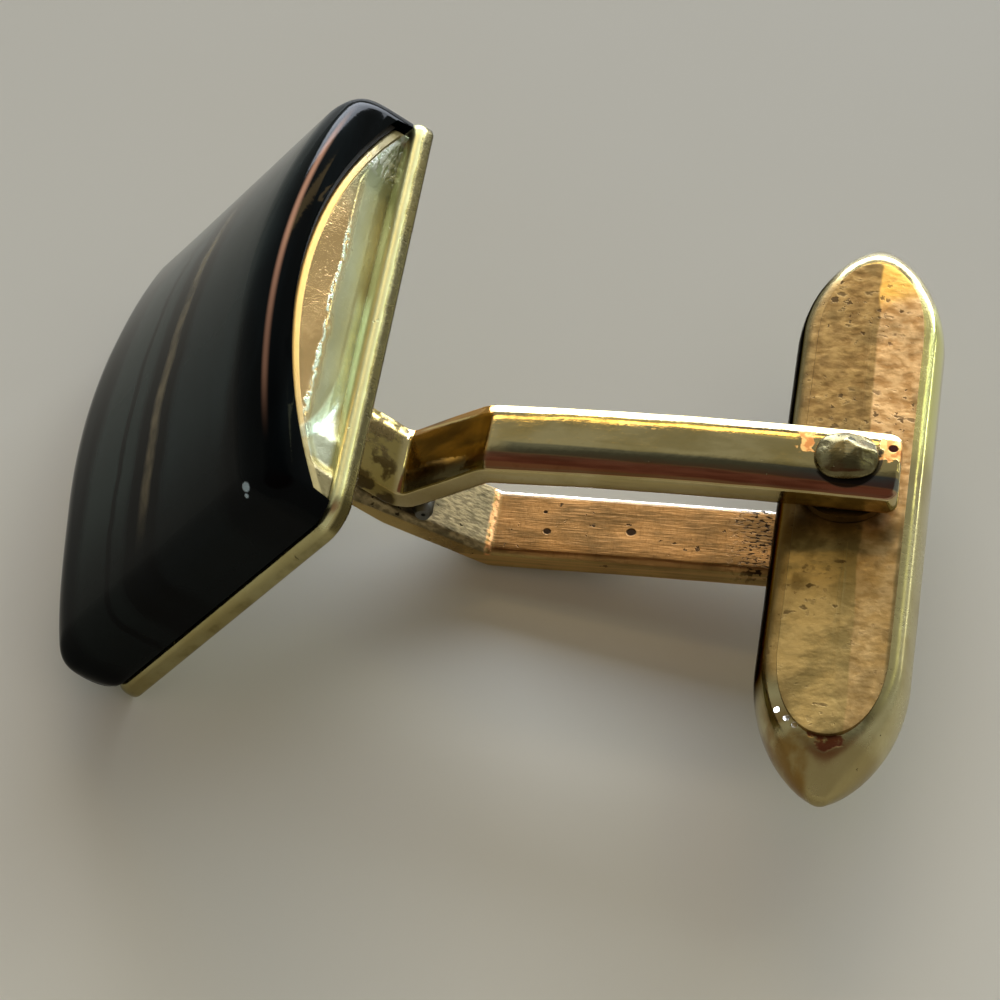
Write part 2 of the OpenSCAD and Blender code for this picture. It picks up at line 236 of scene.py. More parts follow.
def stone_finish():
    """near-black polished stone with a thin tan band and faint paler ones"""
    material, shader = start("polished_banded_stone", IOR=1.45, Specular_IOR_Level=0.075)
    spot = local(material, HEAD)
    across, along, out = add("SeparateXYZ", (spot,), **APART)
    # the bands wander a little along the stone
    wander = grain(spot, 0.5, 3.0, (0.4, 1, 0.4))
    line = total((meet(along, along), 0.011), (along, -0.09), (wander, 0.5), across, -0.7)
    dark_bands = (-0.8, -0.26), (0.24, 0.72), (-1.85, -1.6)
    # the tan band breaks up into flecks and fades towards the ends
    flecks = grain(spot, 2.2, 4.0, (1, 0.45, 1), (1.3, 0, 0))
    flecks = add("MapRange", (flecks, 0.33, 0.62, 0.35, 1.0))
    tan_band = meet(band(line, -0.22, 0.2, 0.14), flecks, band(along, -5.9, 5.0, 0.7))
    smudge = grain(spot, 0.8, 5.0)
    # a small chip on the near corner, which is also painted pale blue as a glint
    chip_and_glint = dots(spot, (((4.33, -7.06, 2.62), 0.17), ((4.2, -7.24, 2.52), 0.12)), smudge)
    colour = paint(
        "#05080a",
        ("#10171a", patches(spot, 1.1, 0.35, 0.7, 4.0, (1, 0.07, 1), (4, 0, 0))),
        ("#3a4644", band(line, -3.4, -0.9, 0.3), 0.6),
        ("#344142", band(line, 0.85, 4.0, 0.35), 0.5),
        *[("#020304", band(line, low, high, 0.1), 0.95) for low, high in dark_bands],
        ("#7d735c", tan_band, 0.85),
        # a warm line lies in the shoulder of the upper long side
        ("#d09c80", band(across, 4.95, 5.04, 0.04), band(along, -4.7, 5.6, 1.4),
         (along, -3.5, 2.5, 0.45, 1.0)),
        ("#04070a", (out, 0.7, 2.6, 0.5, 0.0)),
        ("#020405", (along, -3.5, -6.8), 0.8),
        # the chip painted pale blue as a glint
        ("#b4cad6", chip_and_glint, 0.8),
    )
    fine = grain(spot, 9.0, 2.0)
    rough = total((smudge, 0.1), (fine, 0.04), (tan_band, 0.1))
    height = total((smudge, 0.6), (fine, 0.12), (chip_and_glint, 5.0))
    dress(shader, colour, rough, height, 0.006)
    return material


def seat_layers(spot, axes, colour, rough, height):
    """painted reflections: a bright yellow rim, a peach upper band and a cooler lower wall, with
    broken painted glints where it turns
    """
    _, along, out = axes
    level = add("VectorMath", (spot, (0, 1, 1)), operation="MULTIPLY")
    centre = (0, 0, ARCH_CROWN - ARCH_RADIUS)
    reach = add("VectorMath", (level, centre), "Value", operation="DISTANCE")
    rim = meet((reach, ARCH_RADIUS - RIM - 0.03, ARCH_RADIUS - RIM + 0.03))
    cloud = grain(spot, 1.3, 5.0, (1, 0.5, 1))
    height_on = total((cloud, 0.5), out, -0.25)
    lower = meet((height_on, 1.75, 1.45))
    # glints are painted where the wall turns, broken up by speckle
    speckle = grain(spot, 7.0, 4.0, (1, 0.6, 1), (2, 1, 0))
    broken = meet((speckle, 0.42, 0.55))
    turn = meet(band(height_on, 1.7, 1.86, 0.04), band(along, -4.4, 2.6, 0.4), broken)
    below = meet(total((along, -1.0), -1.0), 0.0, join="MAXIMUM")
    foot = total((meet(below, 3.0, join="POWER"), -0.016), out)
    lift = meet(band(foot, 0.5, 0.92, 0.08), band(along, -5.6, 0.6, 0.5))
    spark = meet(band(along, 5.0, 6.6, 0.2), broken)
    near = meet(band(along, -5.5, -4.4, 0.15), (out, 1.7, 1.2))
    post = meet((along, -5.35, -5.65))
    yellow = band(along, -4.5, 4.6, 2.0)
    colour = paint(
        colour,
        # painted reflections: a peach band high on the wall and a grey-green lower wall
        ("#f0c17e", (height_on, 1.55, 1.95), band(along, -5.4, 3.6, 1.2), 0.75),
        ("#a4ac98", lower, 0.7),
        ("#7b8a6c", (along, 3.2, 5.6), meet(1.0, rim, join="SUBTRACT"), 0.65),
        # painted mint-white glints where the wall turns and along its foot, and painted white
        # sparkles at the far end
        ("#e6fff0", meet(turn, lift, join="MAXIMUM"), 0.7),
        ("#ffffff", spark, 0.35),
        ("#85774e", post, 0.9),
        # a painted yellow highlight along the rim, paler towards its ends
        ("#ffcf7c", rim, yellow),
        ("#b5a574", rim, total((yellow, -0.8), 0.8)),
    )
    rough = total((post, -0.05), (rim, 0.22), (lower, 0.2), (turn, 0.1), (lift, -0.04), rough)
    glints = total((spark, 0.5), (near, 0.35), (turn, 0.4), (lift, 0.4))
    return colour, rough, total((meet(glints, speckle), 2.2), height)


def plate_layers(spot, axes, colour, rough, height):
    """a front bevel painted greenish-gold as a highlight, above an olive edge side painted dark as
    shade
    """
    across, _, out = axes
    wave = grain(spot, 1.1, 3.0, (0, 1, 0))
    level = total((wave, 0.12), out, -0.06)
    side = meet((across, 4.6, 4.9))
    # the back part of the edge side is painted dark olive as shade, the front bevel pale as a
    # painted highlight
    tarnish = meet((level, 0.36, 0.26))
    bevel = meet((level, 0.34, 0.42), side)
    dirt = patches(spot, 1.4, 0.4, 0.65, 5.0, (1, 0.4, 1), (2, 5, 1))
    colour = paint(
        colour,
        # painted shade on the back of the edge side and a painted highlight on the front bevel,
        # with dirt over the shade
        ("#5a5232", tarnish, side, 0.95),
        ("#8f865a", meet(1.0, side, join="SUBTRACT"), 0.65),
        ("#efeeb4", bevel, 0.8),
        ("#6f6236", tarnish, dirt, 0.5),
    )
    rough = total((meet(tarnish, side), 0.06), (bevel, 0.12), rough)
    return colour, rough, height


def upper_arm_layers(spot, axes, colour, rough, height):
    """painted reflections in bands along the outer face, painted shade, a red-brown dot and bare
    spots round the pin
    """
    along, across, up = axes
    wobble = grain(spot, 0.7, 4.0, (0.6, 0, 0))
    line = total((wobble, 0.16), across, -0.08)
    # the bands run slightly askew, nearer the middle at the pin
    askew = total((along, 0.035), line)
    low = total((along, 0.022), line)
    face = meet((up, ARM_OUTER - 0.3, ARM_OUTER - 0.2))
    strip = band(along, -9.0, -1.42, 0.12)
    olive = patches(spot, 1.5, 0.4, 0.6, 5.0, (0.4, 1, 1), (1, 1, 3))
    slate = paint("#8a8468", ("#6c757a", (along, -3.0, 0.5)))
    grey = meet(band(low, -0.84, -0.5, 0.035), band(along, -9.4, 1.6, 0.3), face)
    red = meet(band(low, -1.13, -0.86, 0.025), face)
    # mottle within the painted red reflection band
    red_reflection_mottle = patches(spot, 2.0, 0.35, 0.6, 4.0, (0.25, 3, 1), (3, 0, 1))
    streaks = patches(spot, 1.0, 0.4, 0.6, 3.0, (0.15, 1, 7), (0, 0, 2))
    # the slant and the foot
    slant = meet(band(along, -12.25, -9.85, 0.06), (up, 0.3, 0.5))
    amber = patches(spot, 1.0, 0.35, 0.62, 4.0, (0.5, 1.6, 1), (2, 2, 0))
    shine = band(total((along, 0.12), across), -0.52, -0.42, 0.03)
    foot = meet((along, -12.35, -12.55))
    stains = patches(spot, 1.5, 0.46, 0.54, 5.0, shift=(4, 1, 0))
    ragged = patches(spot, 4.0, 0.42, 0.56, 3.0, shift=(1, 0, 6))
    # round the pin
    flat = add("VectorMath", (spot, (1, 1, 0)), operation="MULTIPLY")
    reach = add("VectorMath", (flat, (0.02, 0.05, 0)), "Value", operation="DISTANCE")
    near_side = total((along, -0.6), across)
    # a dark line of painted shade under the near side of the pin's head
    painted_seam_shade = meet(band(reach, 0.6, 1.0, 0.03), face, (near_side, 0.1, -0.2))
    tear = grain(spot, 3.2, 4.0)
    torn = total((tear, 0.6), along, -0.3)
    bare = total((tear, 0.5), line, -0.25)
    bare = meet(band(bare, 0.06, 0.84, 0.04), face)
    tip = meet(bare, (torn, 0.86, 0.94))
    patch = meet(bare, band(torn, -1.33, -0.9, 0.03))
    marks = (1.25, 0.5, 0.16), (0.88, 0.98, 0.07), (1.24, 0.93, 0.06), (1.12, 0.1, 0.05)
    dot = dots(spot, [((x, y, ARM_OUTER), radius) for x, y, radius in marks], wobble)
    colour = paint(
        colour,
        # painted reflections in bands along the outer face: a brown and a yellow line towards the
        # far edge, olive in the middle, slate-grey and red towards the near edge
        ("#8a6f4a", band(askew, 0.66, 0.76, 0.03), face, strip, 0.6),
        ("#ffdd84", band(askew, 0.44, 0.63, 0.025), face, strip, 0.9),
        ("#a59462", band(askew, -0.4, 0.42, 0.05), face, olive, 0.55),
        (slate, grey, 0.9),
        (paint("#946a52", ("#bb9478", red_reflection_mottle)), red, 0.85),
        ("#c6b278", (across, -1.08, -1.13), band(along, -9.8, 1.6, 0.1), streaks, 0.8),
        # a painted amber reflection and a painted highlight line on the slant, brown and black
        # spots on the foot, a painted ragged highlight along its far edge
        (paint("#7c5210", ("#c88d2c", amber)), slant, (across, -1.0, -0.7), 0.85),
        ("#ffe9a0", slant, shine, band(along, -11.9, -10.4, 0.2), 0.7),
        ("#93803f", foot, 0.75),
        ("#3d2b12", foot, stains, 0.8),
        ("#ffe58c", foot, band(across, 0.72, 1.2, 0.08), ragged, 0.9),
        # a dark line of painted shade on the near side of the pin, and bare copper-gold patches
        ("#15100b", painted_seam_shade, 0.9),
        (paint("#ffc878", ("#d88c48", ragged)), meet(tip, patch, join="MAXIMUM"), 0.95),
        ("#4b1c10", dot),
    )
    height = total((dot, -3.0), (tip, -0.5), (meet(foot, ragged), 0.12), height)
    rough = total((dot, 0.3), (red, 0.1), (grey, 0.04), (meet(foot, stains), 0.2),
                  (painted_seam_shade, 0.3), (tip, 0.4), (patch, 0.4), rough)
    return colour, rough, height


def lower_arm_layers(spot, axes, colour, rough, height):
    """copper-toned scratched inner face, grey-brown slant, a painted glint at the bend, a painted
    highlight on the far edge, and streaked sides painted pale as light
    """
    along, across, up = axes
    straight = meet((along, -10.02, -9.92))
    inner = meet(straight, band(up, -1.5, -1.2, 0.04))
    worn = grain(spot, 1.3, 6.0, (0.6, 1.2, 1))
    # wear scratches lie along the arm and across it, about 0.08 mm apart
    run = grain(spot, 1.0, 5.0, (1.6, 20, 1))
    weft = grain(spot, 1.0, 5.0, (14, 3, 1), (3, 0, 0))
    copper = paint("#a77d49", ("#7d5f36", (worn, 0.35, 0.65)),
                   ("#d9a468", (run, 0.5, 0.66), 0.35), ("#5d3f1c", (weft, 0.56, 0.7), 0.25))
    slope = total((along, 0.515), up, 5.0985)
    slant = meet((along, -9.98, -10.06), (slope, -1.62, -1.52))
    fibres = grain(spot, 1.0, 5.0, (5, 12, 5), turn=(0, 0, 0.6))
    mottle = paint("#7d6f50", ("#aa9970", (fibres, 0.36, 0.64)),
                   ("#565039", patches(spot, 1.6, 0.5, 0.66, 5.0), 0.6))
    ragged = patches(spot, 5.0, 0.42, 0.55, 3.0)
    glint = meet(band(along, -10.03, -9.86, 0.04), ragged, band(up, -1.6, -1.2, 0.05))
    # the far edge of the inner face, painted near-white as a highlight
    rim = meet(straight, (across, 0.9, 1.0), band(up, -1.8, -1.2, 0.1))
    # large pits, small ones everywhere and a rough patch towards the pin
    marks = ((-8.37, -0.31, 0.14), (-6.0, -0.11, 0.16), (-8.5, 0.4, 0.09),
             (-8.2, 0.36, 0.06), (-3.7, -0.15, 0.07), (-3.8, -0.35, 0.06))
    big = dots(spot, [((x, y, -ARM_GAP / 2), radius) for x, y, radius in marks], worn)
    small = meet(spots(spot, 3.0, 0.24, (1.2, 0.3, 0.8)), 0.8)
    hatch = patches(spot, 4.5, 0.53, 0.6, 5.0, (1.2, 2.6, 1), (5, 2, 0))
    hatch = meet((along, -3.4, -2.3), hatch)
    pit = meet(meet(big, small, hatch, join="MAXIMUM"), (up, -2.2, -1.6))
    side = meet((up, -1.5, -1.62))
    colour = paint(
        colour,
        (copper, inner),
        (mottle, slant),
        # a painted glint at the bend and a painted highlight along the far edge
        ("#ffbe80", glint),
        ("#fff6ea", rim, 0.9),
        ("#2b1b0e", pit, 0.88),
        # streaks on the sides, painted pale as painted light
        ("#dcb676", side, patches(spot, 1.0, 0.42, 0.6, 3.0, (0.12, 1, 8), (0, 0, 3)), 0.75),
    )
    rough = total((inner, 0.14), (slant, 0.3), (pit, 0.4), (rim, -0.2), (side, 0.15), rough)
    scratches = meet(inner, total(run, weft))
    height = total((pit, -3.0), (worn, 1.2), (scratches, 0.6), meet(slant, fibres), height)
    return colour, rough, height


def pin_layers(spot, axes, colour, rough, height):
    """mottled olive-grey rivet head with a dark smudge and pale bruises"""
    mottle = patches(spot, 1.9, 0.38, 0.6, 5.0, shift=(2, 7, 1))
    smear = patches(spot, 2.6, 0.5, 0.64, 5.0, (1, 0.7, 1), (6, 1, 1))
    marks = ((0.14, 0.5, 2.6), 0.13), ((0.3, 0.52, 2.6), 0.09), ((0.05, 0.12, 2.64), 0.08)
    dark = dots(spot, marks, mottle)
    colour = paint(colour, ("#665a36", mottle, 0.7), ("#aaa580", smear, 0.4),
                   ("#23231a", dark, 0.8))
    rough = total((mottle, 0.1), (dark, 0.2), rough)
    return colour, rough, total((mottle, 0.3), (smear, 0.4), (height, 0.7))


def worn_gold(spot, axes):
    """mottled brown-gold left of the ridge, peach gold right of it, olive near the wearer"""
    along, across, _ = axes
    # how far right of the worn ridge a place is
    wobble = grain(spot, 0.5, 5.0, (0, 1, 0), (0, 2, 0))
    ridge = total((wobble, 0.3), (across, 0.022), along, -0.65)
    pale = meet((ridge, -0.02, 0.06))
    cloud = patches(spot, 0.8, 0.4, 0.62, 6.0, shift=(5, 1, 2))
    speckle = grain(spot, 3.2, 6.0, (0.7, 1, 1), (1, 4, 2))
    crossing = grain(spot, 1.0, 5.0, (1.4, 7, 1), (2, 0, 4))
    left = paint("#7d6236", ("#a48650", (speckle, 0.36, 0.64)))
    gold = paint("#b08650", ("#dab27a", (speckle, 0.36, 0.62)),
                 ("#a0733a", (crossing, 0.55, 0.7), 0.15))
    olive = paint("#8c7a4a", ("#b69c62", cloud))
    far = total((ridge, -0.5), across)
    stain = patches(spot, 0.9, 0.52, 0.66, 6.0, (1, 0.6, 1), (3, 8, 1))
    # pits gather left of the ridge on the far half and thin out elsewhere
    coarse = spots(spot, 2.6, 0.36, (0.7, 0.2, 0.1))
    pit = meet(coarse, spots(spot, 5.0, 0.42, (0.1, 0.5, 0.3)), join="MAXIMUM")
    group = patches(spot, 0.55, 0.44, 0.56, 3.0, shift=(2, 2, 5))
    ragged = meet((speckle, 0.6, 0.68), group, 0.8)
    pit = meet(meet(pit, group, (across, 0.0, 3.0, 0.25, 1.0)), ragged, join="MAXIMUM")
    colour = paint(
        left,
        (gold, pale),
        (olive, (across, 0.5, -3.0), total((pale, -0.3), 0.85)),
        # a painted yellow highlight at the far end, right of the ridge
        ("#ffc65a", (far, 6.6, 7.5), band(ridge, 0.0, 1.2, 0.06), 0.8),
        ("#6e5628", stain, 0.55),
        ("#5d4a24", band(across, -2.6, -1.2, 0.4), patches(spot, 1.2, 0.4, 0.6, 4.0), 0.7),
        ("#553c1c", pit, 0.7),
    )
    rough = total((pit, 0.3), (stain, 0.1), (speckle, 0.15))
    return colour, rough, total((pit, -0.55), (cloud, 0.8), (speckle, 0.8), (crossing, 0.1))


def shell_layers(spot, axes, colour, rough, height):
    """worn like the face left of it, with a painted brown reflection and shade on the side to the
    head
    """
    along, across, up = axes
    right = meet(along, TOGGLE_SHIFT, join="SUBTRACT")
    level = meet((up, 0.92, 1.04))
    left = meet((right, -0.9, -1.1))
    body = band(across, -6.9, 8.2, 0.5)
    tone, worn, relief = worn_gold(spot, axes)
    top = meet(level, left, body)
    # the brown climbs onto the edge of the face in the near half
    far = meet((across, 0.5, 3.0))
    flank = meet(left, (total((far, 0.1), up, -0.1), 1.06, 0.8), body)
    # the specular tint keeps the painted brown reflection even where the side is seen edge-on
    tint = paint("#ffffff", ("#4a4234", flank))
    tree = tint.id_data
    tree.links.new(tint, tree.nodes["Principled BSDF"].inputs["Specular Tint"])
    rim = meet(level, (right, 0.9, 1.1))
    upper = meet((across, 0.5, 2.5))
    frayed = total((grain(spot, 4.0, 3.0), 0.14), right, -0.07)
    outer = meet((frayed, 1.66, 1.7), (up, 0.2, 0.5), body)
    near_right = meet((right, 0.9, 1.3), (across, 0.5, -1.5))
    point = meet((across, -8.2, -8.8))
    satin = meet(near_right, point, join="MAXIMUM")
    marks = ((0.28, -8.68, 1.0), 0.36), ((-0.08, -8.5, 1.05), 0.24), ((0.58, -8.68, 1.0), 0.22)
    blot = dots(spot, marks, patches(spot, 2.4, 0.3, 0.7))
    stain = meet(blot, patches(spot, 3.0, 0.3, 0.46, shift=(1, 1, 1)), 0.9)
    # three nicks in the edge turn their floors to the window
    nicks_and_glints = floors = 0.0
    for x, y, z, steep, askew in ((-1.12, -7.8, 0.99, 48, 43), (-0.84, -8.08, 1.04, 42, 38),
                                  (-0.6, -8.3, 1.07, 38, 32)):
        nick = dots(spot, (((x, y, z), 0.085),))
        floor = total((across, -steep), (along, -askew), steep * y + askew * x)
        nicks_and_glints = total(nick, (nicks_and_glints, 1.0))
        floors = total(meet(nick, floor), (floors, 1.0))
    colour = paint(
        colour,
        (tone, top),
        # the side to the head painted brown as the head's reflection and shade, darker on the far
        # half
        (paint("#6f5126", ("#1c170e", far)), flank, 0.92),
        # olive rim right of the face; towards the far end it is painted brighter as painted light,
        # with a painted yellow-green highlight along its outer edge
        ("#8f8556", rim, (across, 0.5, -1.0), 0.7),
        ("#d6cb84", rim, upper, body, 0.9),
        ("#f4f4a4", outer, upper, 0.9),
        ("#9c8956", point, 0.7),
        # a painted amber reflection in the left side of the near point, a red-brown stain at the
        # tip of the cover
        ("#8a6426", (across, -7.0, -8.2), (right, -0.25, -0.5),
         patches(spot, 1.1, 0.38, 0.6), 0.75),
        ("#6b2f1e", stain),
        # the nicks are painted white as glints
        ("#ffffff", nicks_and_glints),
    )
    rough = total(meet(top, worn), (top, 0.2), (stain, 0.2), (flank, 0.08),
                  (nicks_and_glints, 0.15), (satin, 0.16), (meet(rim, upper), 0.12), rough)
    height = total(meet(top, relief), (floors, 1.0), (stain, -0.8), height)
    return colour, rough, height


def face_layers(spot, axes, colour, rough, height):
    """the worn gold of the face, with a dark line of painted shade along its right near side, where
    the cover meets the shell
    """
    along, across, _ = axes
    tone, worn, relief = worn_gold(spot, axes)
    right = meet(along, TOGGLE_SHIFT, join="SUBTRACT")
    # a dark line of painted shade along the joint of the cover on its right near side
    painted_seam_shade = meet((right, COVER_HALF - 0.14, COVER_HALF - 0.04))
    colour = paint(colour, (tone, 1.0), ("#5a4f2c", painted_seam_shade, (across, 0.0, -2.0), 0.7))
    return colour, total(worn, rough), total(relief, height)


# gold plate over brass, stamped and barrel polished: pale, a little silvery, mirror bright
SEAT = metal("gold_plate_seat", HEAD, "#d6d0a6", "#c9bb8a", "#6b5836", 0.15, seat_layers, 1, 0.06)
# gold plate over brass sheet: the front bevel painted yellow-green as a highlight, the edge side
# painted brown-olive as shade
PLATE_GOLD = metal("gold_plate_back", HEAD, "#d8cf98", "#bfae70", "#5d4827", 0.2, plate_layers, 2)
# gold plate over brass bar, buffed by wear along its length: long crisp reflections
ARM_GOLD = metal("gold_plate_arm", ARMS, "#c9b887", "#ae9c66", "#4a3719", 0.09,
                 upper_arm_layers, 3, 0.06, 0.1)
# the same bar with the plate worn through to copper-toned brass: matt, scratched and pitted
ARM_WORN = metal("worn_copper_arm", ARMS, "#c4a86a", "#9a8050", "#33230f", 0.26,
                 lower_arm_layers, 4)
# soft solder, left as it set: dull grey with pores
SOLDER = metal("dull_solder", ARMS, "#7d7c74", "#5d5d55", "#23221d", 0.48, None, 5, 0.3)
# nickel silver rivet, hammered over: olive-grey, dented, softly shiny
PIN_METAL = metal("hammered_nickel_silver", ARMS, "#7c7351", "#585034", "#2b281c", 0.2,
                  pin_layers, 6, 0.12)
# brass washers dark with tarnish: dull brown
WASHER = metal("tarnished_brass", ARMS, "#77613a", "#4e3f24", "#20180d", 0.45, None, 7)
# gold plate over a pressed brass shell, polished: pale gold, soft reflections
TOGGLE_GOLD = metal("gold_plate_toggle", ARMS, "#d0c698", "#b9aa7a", "#5a4828", 0.14,
                    shell_layers, 8, 0.08, 0.1)
# rolled gold sheet worn matt: mottled brown and peach gold with pits 0.1 to 0.3 mm wide
TOGGLE_FACE = metal("worn_rolled_gold", ARMS, "#a88a50", "#8b6e3c", "#3a2814", 0.33,
                    face_layers, 9, 0.06, 0.04)
# shellac cement squeezed out of the joint: dark brown, satin, and no metal
CEMENT = metal("dark_cement", HEAD, "#2a231a", "#1a1611", "#0c0a08", 0.6, None, 10, metallic=0.0)
STONE = stone_finish()


# ------------------------------------------------------------------- meshes


def solid(name, points, faces, place, sharp=32.0, wobble=0.0):
    """a closed mesh from points in millimetres, with a little unevenness"""
    mesh = bpy.data.meshes.new(name)
    moved = []
    for point in points:
        spot = Vector(point)
        if wobble:
            spot += noise.noise_vector(spot * 0.9 + Vector((3, 7, 1))) * wobble
        moved.append((place @ spot) * MM)
    mesh.from_pydata(moved, [], faces)
    shape = bmesh.new()
    shape.from_mesh(mesh)
    bmesh.ops.remove_doubles(shape, verts=shape.verts, dist=1e-7)
    bmesh.ops.recalc_face_normals(shape, faces=shape.faces)
    shape.to_mesh(mesh)
    shape.free()
    mesh.shade_smooth()
    mesh.set_sharp_from_angle(angle=radians(sharp))
    return show(name, mesh)


def finish(thing, material, node, body="head_and_post"):
    """gives a piece its material and puts it in the place of a CAD node"""
    thing.data.materials.clear()
    thing.data.materials.append(material)
    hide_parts(node)
    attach(thing, body)


def circle(count):
    """angles round a circle in even steps"""
    return [2 * pi * k / count for k in range(count)]


def quarter(steps):
    """angles over a quarter of a circle in even steps, with both ends"""
    return [pi / 2 * i / steps for i in range(steps + 1)]


def uneven(x, y, z):
    """smooth noise from about -1 to 1"""
    return noise.noise(Vector((x, y, z)))


def skin(rings):
    """quads between closed rings of equal count, with a fan over each end"""
    count = len(rings[0])
    points = [p for ring in rings for p in ring]
    faces = []
    for base in range(0, count * (len(rings) - 1), count):
        for i in range(count):
            j = (i + 1) % count
            faces.append((base + i, base + j, base + count + j, base + count + i))
    for base, ring in ((0, rings[0]), ((len(rings) - 1) * count, rings[-1])):
        points.append(tuple(sum((Vector(p) for p in ring), Vector()) / count))
        faces += [(base + i, base + (i + 1) % count, len(points) - 1) for i in range(count)]
    return points, faces


def outline(half_x, half_y, corners, gap=0.4, arc=7):
    """(x, y, outward x, outward y) round a rectangle with rounded corners"""
    arcs = []
    for k, (sx, sy) in enumerate(((1, 1), (-1, 1), (-1, -1), (1, -1))):
        r = corners[k]
        turns = [pi / 2 * k + a for a in quarter(arc)]
        ways = [(cos(a), sin(a)) for a in turns]
        arcs.append([(sx * (half_x - r) + r * c, sy * (half_y - r) + r * s, c, s) for c, s in ways])
    result = []
    for k in range(4):
        result += arcs[k]
        here, there = arcs[k][-1], arcs[(k + 1) % 4][0]
        steps = max(1, round(hypot(there[0] - here[0], there[1] - here[1]) / gap))
        for i in range(1, steps):
            s = i / steps
            x, y = (here[n] + (there[n] - here[n]) * s for n in (0, 1))
            result.append((x, y, here[2], here[3]))
    return result


def arched(y, radius, crown):
    """height of an arch along the head"""
    return sqrt(radius * radius - y * y) + crown - radius


def ease(value):
    """0 to 1, with soft ends"""
    value = min(1.0, max(0.0, value))
    return value * value * (3 - 2 * value)


def fall_off(gap, radius):
    """how far a rounded edge has fallen, so far from the side of it"""
    return radius - sqrt(max(0.0, radius ** 2 - max(0.0, radius - gap) ** 2))


def spread(half, shoulder, steps, middle):
    """places from -half to half, close together on the rounded shoulders"""
    side = [half - shoulder * (1 - cos(a)) for a in quarter(steps)]
    inner = side[-1]
    centre = [inner - 2 * inner * i / middle for i in range(1, middle)]
    return side + centre + [-v for v in reversed(side)]


def make_stone():
    """cabochon arched along its length, over a hollow bed"""
    short, thinnest = 0.01, 0.03
    half_x, half_y = PLATE[0] - short, PLATE[1] - short
    inner_x, inner_y = half_x - STONE_CORNER, half_y - STONE_CORNER
    xs = spread(half_x, SIDE_SHOULDER, 12, 14)
    ys = spread(half_y, END_SHOULDER, 9, 40)

    def rounded(x, y):
        """moves the square corners of the grid onto round ones"""
        a, b = (abs(x) - inner_x) / STONE_CORNER, (abs(y) - inner_y) / STONE_CORNER
        if a <= 0 or b <= 0:
            return x, y
        new_a, new_b = a * sqrt(1 - b * b / 2), b * sqrt(1 - a * a / 2)
        return (copysign(inner_x + new_a * STONE_CORNER, x),
                copysign(inner_y + new_b * STONE_CORNER, y))

    top, under = [], []
    for x in xs:
        for y in ys:
            px, py = rounded(x, y)
            # the two low corners are rounded less and swell out over the plate
            full = max(0.0, -x / half_x) * ease((abs(y) - SWELL_START) / SWELL_RUN)
            swell = full * abs(x / half_x) ** 3
            fall_x = fall_off(half_x - abs(x), SIDE_SHOULDER * (1 - SWELL_FULLER * full))
            fall_y = fall_off(half_y - abs(y), END_SHOULDER)
            fall = min((fall_x ** 3 + fall_y ** 3) ** (1 / 3), SIDE_SHOULDER)
            bed = STONE_FOOT
            if abs(py) < BED_REACH:
                bed = arched(py, BED_RADIUS, ARCH_CROWN + BED_RADIUS - ARCH_RADIUS)
            z = max(arched(y, STONE_RADIUS, STONE_CROWN) - fall, bed + thinnest)
            top.append((px - SWELL_OUT * swell, py * (1 + SWELL_LONGER * swell), z))
            under.append((px, py, bed))
    rows, columns = len(xs), len(ys)
    size = rows * columns
    points = top + under
    faces = []
    for i in range(rows - 1):
        for a in range(i * columns, (i + 1) * columns - 1):
            faces.append((a, a + 1, a + columns + 1, a + columns))
            faces.append((size + a, size + a + columns, size + a + columns + 1, size + a + 1))
    rim = list(range(columns))
    rim += [i * columns + columns - 1 for i in range(1, rows)]
    rim += [(rows - 1) * columns + j for j in range(columns - 2, -1, -1)]
    rim += [i * columns for i in range(rows - 2, 0, -1)]
    # the side between them curves in to the plate
    walls = [rim]
    for turn in quarter(6)[1:-1]:
        walls.append(list(range(len(points), len(points) + len(rim))))
        for a in rim:
            high, low = Vector(points[a]), Vector(points[size + a])
            spot = low + (high - low) * cos(turn)
            points.append((spot[0], spot[1], high[2] + (low[2] - high[2]) * sin(turn)))
    walls.append([size + a for a in rim])
    for over, below in zip(walls, walls[1:]):
        for k, a in enumerate(over):
            n = (k + 1) % len(rim)
            faces.append((a, over[n], below[n], below[k]))
    finish(solid("stone_cabochon", points, faces, HEAD, 40), STONE, "stone")


def ramp(value, soft):
    """0 below zero, the value itself above, with a soft turn between"""
    return 0.0 if value < -soft else value if value > soft else (value + soft) ** 2 / (4 * soft)


def hollow(y, z, low):
    """how deep the crescent walls are pressed in, and how far they are flush"""
    top = min(1.78, low + PLATE[2] - 0.12)
    foot = min(0.7 + 0.016 * max(0.0, -1 - y) ** 3, top - 0.2)
    steep = 0.3 + 0.05 * uneven(y * 0.5, z * 0.9, 5.0)
    depth = steep * (ramp(top - z, 0.06) - ramp(foot - z, 0.12))
    share = min(ease((y + 6.0) / 0.5), ease((SEAT_REACH - y) / 0.3))
    dent = uneven(y * 0.75, z * 1.3, 2.0) * 0.014
    dent += uneven(y * 3.1, z * 2.2, 8.0) * 0.003
    return (max(0.0, depth) + dent) * share, 1 - share


